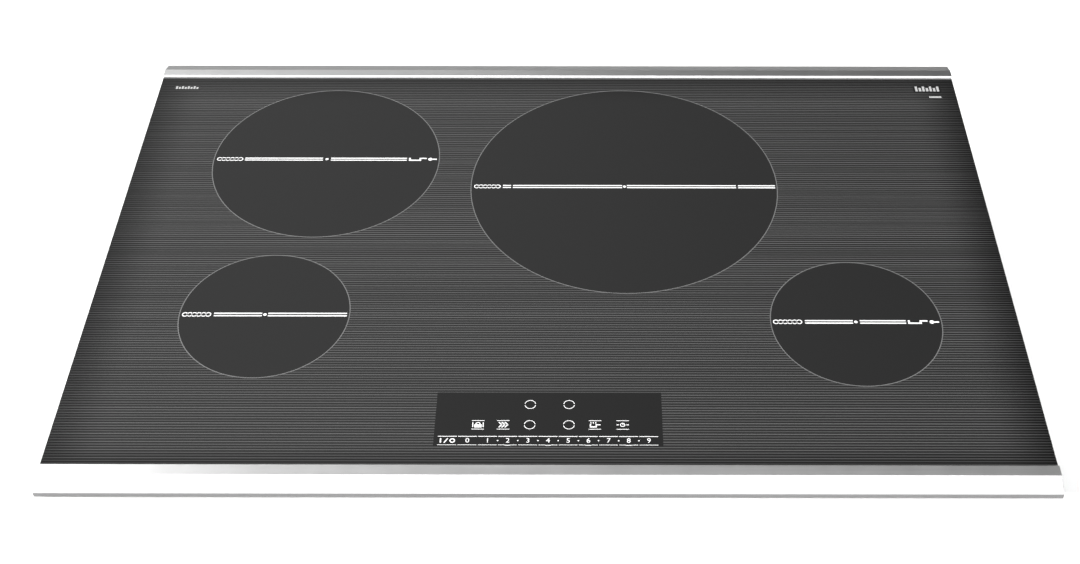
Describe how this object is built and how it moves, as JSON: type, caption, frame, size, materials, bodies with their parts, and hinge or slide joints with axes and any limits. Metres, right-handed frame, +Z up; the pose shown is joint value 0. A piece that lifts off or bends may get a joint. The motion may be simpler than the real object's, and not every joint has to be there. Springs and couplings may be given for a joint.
{
  "type": "electric induction cooktop",
  "caption": "Built-in electric induction cooktop: black ceramic glass between steel trims, round cooking zones and a touch control field over a shallow steel pan that drops into a worktop.",
  "frame": {"origin": "centre of the base pan's flat underside, under the middle of the glass", "axes": "+X to the cook's right along the trims, +Y to the rear, +Z up out of the worktop; the cook stands at -Y"},
  "size_m": [0.781, 0.535, 0.111],
  "materials": {
    "black_glass": "polished black ceramic glass, printed underneath with fine grey lines",
    "trim_steel": "finely brushed stainless steel, grain along the length",
    "foam": "closed-cell foam strip, matte",
    "zinc_sheet": "galvanised sheet steel with a soft spangle",
    "aluminium_sheet": "mill-finish aluminium sheet",
    "heatsink_aluminium": "extruded aluminium, satin",
    "copper_litz": "enamelled copper strands, wound in a flat spiral",
    "ferrite": "sintered ferrite, matte dark grey",
    "fibre_mat": "ceramic-fibre felt, off-white",
    "silicone": "silicone, off-white, satin",
    "spring_steel": "blued spring steel",
    "screw_steel": "zinc-plated screws",
    "black_plastic": "glass-filled nylon, fine texture",
    "circuit_board": "green solder mask on glass-fibre board",
    "nylon": "dark grey nylon",
    "light_guide": "clear acrylic, frosted underneath"
  },
  "bodies": {
    "chassis": {"glass_panel": "black_glass", "front_trim": "trim_steel", "rear_trim": "trim_steel", "countertop_seal": "foam", "base_pan": "zinc_sheet", "left_rail": "zinc_sheet", "right_rail": "zinc_sheet", "junction_cover": "zinc_sheet", "coil_plate": "aluminium_sheet", "filter_board": "circuit_board", "terminal_block": "nylon", "cable_gland": "nylon", "control_frame": "black_plastic", "control_board": "circuit_board", "display_light_guide": "light_guide", "left_front_case_screw": "screw_steel", "left_rear_case_screw": "screw_steel", "right_front_case_screw": "screw_steel", "right_rear_case_screw": "screw_steel", "left_rear_spring": "spring_steel", "right_rear_spring": "spring_steel", "left_front_spring": "spring_steel", "right_front_spring": "spring_steel", "left_blower_housing": "black_plastic", "left_blower_lid": "black_plastic", "left_board_tray": "black_plastic", "left_power_board": "circuit_board", "left_heatsink": "heatsink_aluminium", "right_blower_housing": "black_plastic", "right_blower_lid": "black_plastic", "right_board_tray": "black_plastic", "right_power_board": "circuit_board", "right_heatsink": "heatsink_aluminium"},
    "left_fan": {"left_impeller": "black_plastic"},
    "right_fan": {"right_impeller": "black_plastic"},
    "left_rear_coil_unit": {"left_rear_coil_base": "aluminium_sheet", "left_rear_ferrites": "ferrite", "left_rear_winding": "copper_litz", "left_rear_mat": "fibre_mat", "left_rear_sensor": "silicone"},
    "right_rear_coil_unit": {"right_rear_coil_base": "aluminium_sheet", "right_rear_ferrites": "ferrite", "right_rear_winding": "copper_litz", "right_rear_outer_winding": "copper_litz", "right_rear_mat": "fibre_mat", "right_rear_sensor": "silicone"},
    "left_front_coil_unit": {"left_front_coil_base": "aluminium_sheet", "left_front_ferrites": "ferrite", "left_front_winding": "copper_litz", "left_front_mat": "fibre_mat", "left_front_sensor": "silicone"},
    "right_front_coil_unit": {"right_front_coil_base": "aluminium_sheet", "right_front_ferrites": "ferrite", "right_front_winding": "copper_litz", "right_front_mat": "fibre_mat", "right_front_sensor": "silicone"},
    "left_front_clip": {"left_front_spring_clip": "spring_steel"},
    "left_rear_clip": {"left_rear_spring_clip": "spring_steel"},
    "right_front_clip": {"right_front_spring_clip": "spring_steel"},
    "right_rear_clip": {"right_rear_spring_clip": "spring_steel"}
  },
  "joints": [
    {"name": "left_fan_spin", "type": "hinge", "parent": "chassis", "child": "left_fan", "pos_m": [-0.222, -0.092, 0.018], "axis": [0, 0, 1], "continuous": true},
    {"name": "right_fan_spin", "type": "hinge", "parent": "chassis", "child": "right_fan", "pos_m": [0.222, -0.092, 0.018], "axis": [0, 0, 1], "continuous": true},
    {"name": "left_rear_coil_float", "type": "slide", "parent": "chassis", "child": "left_rear_coil_unit", "axis": [0, 0, -1], "range_m": [0, 0.003], "stiffness_N_per_m": 3000, "springref_m": -0.008, "deforming": ["left_rear_spring"]},
    {"name": "right_rear_coil_float", "type": "slide", "parent": "chassis", "child": "right_rear_coil_unit", "axis": [0, 0, -1], "range_m": [0, 0.003], "stiffness_N_per_m": 5000, "springref_m": -0.008, "deforming": ["right_rear_spring"]},
    {"name": "left_front_coil_float", "type": "slide", "parent": "chassis", "child": "left_front_coil_unit", "axis": [0, 0, -1], "range_m": [0, 0.003], "stiffness_N_per_m": 2000, "springref_m": -0.008, "deforming": ["left_front_spring"]},
    {"name": "right_front_coil_float", "type": "slide", "parent": "chassis", "child": "right_front_coil_unit", "axis": [0, 0, -1], "range_m": [0, 0.003], "stiffness_N_per_m": 2000, "springref_m": -0.008, "deforming": ["right_front_spring"]},
    {"name": "left_front_clip_flex", "type": "hinge", "parent": "chassis", "child": "left_front_clip", "pos_m": [-0.36, -0.15, 0.0285], "axis": [0, 1, 0], "range_deg": [0, 8], "stiffness_Nm_per_rad": 4},
    {"name": "left_rear_clip_flex", "type": "hinge", "parent": "chassis", "child": "left_rear_clip", "pos_m": [-0.36, 0.15, 0.0285], "axis": [0, 1, 0], "range_deg": [0, 8], "stiffness_Nm_per_rad": 4},
    {"name": "right_front_clip_flex", "type": "hinge", "parent": "chassis", "child": "right_front_clip", "pos_m": [0.36, -0.15, 0.0285], "axis": [0, -1, 0], "range_deg": [0, 8], "stiffness_Nm_per_rad": 4},
    {"name": "right_rear_clip_flex", "type": "hinge", "parent": "chassis", "child": "right_rear_clip", "pos_m": [0.36, 0.15, 0.0285], "axis": [0, -1, 0], "range_deg": [0, 8], "stiffness_Nm_per_rad": 4}
  ]
}
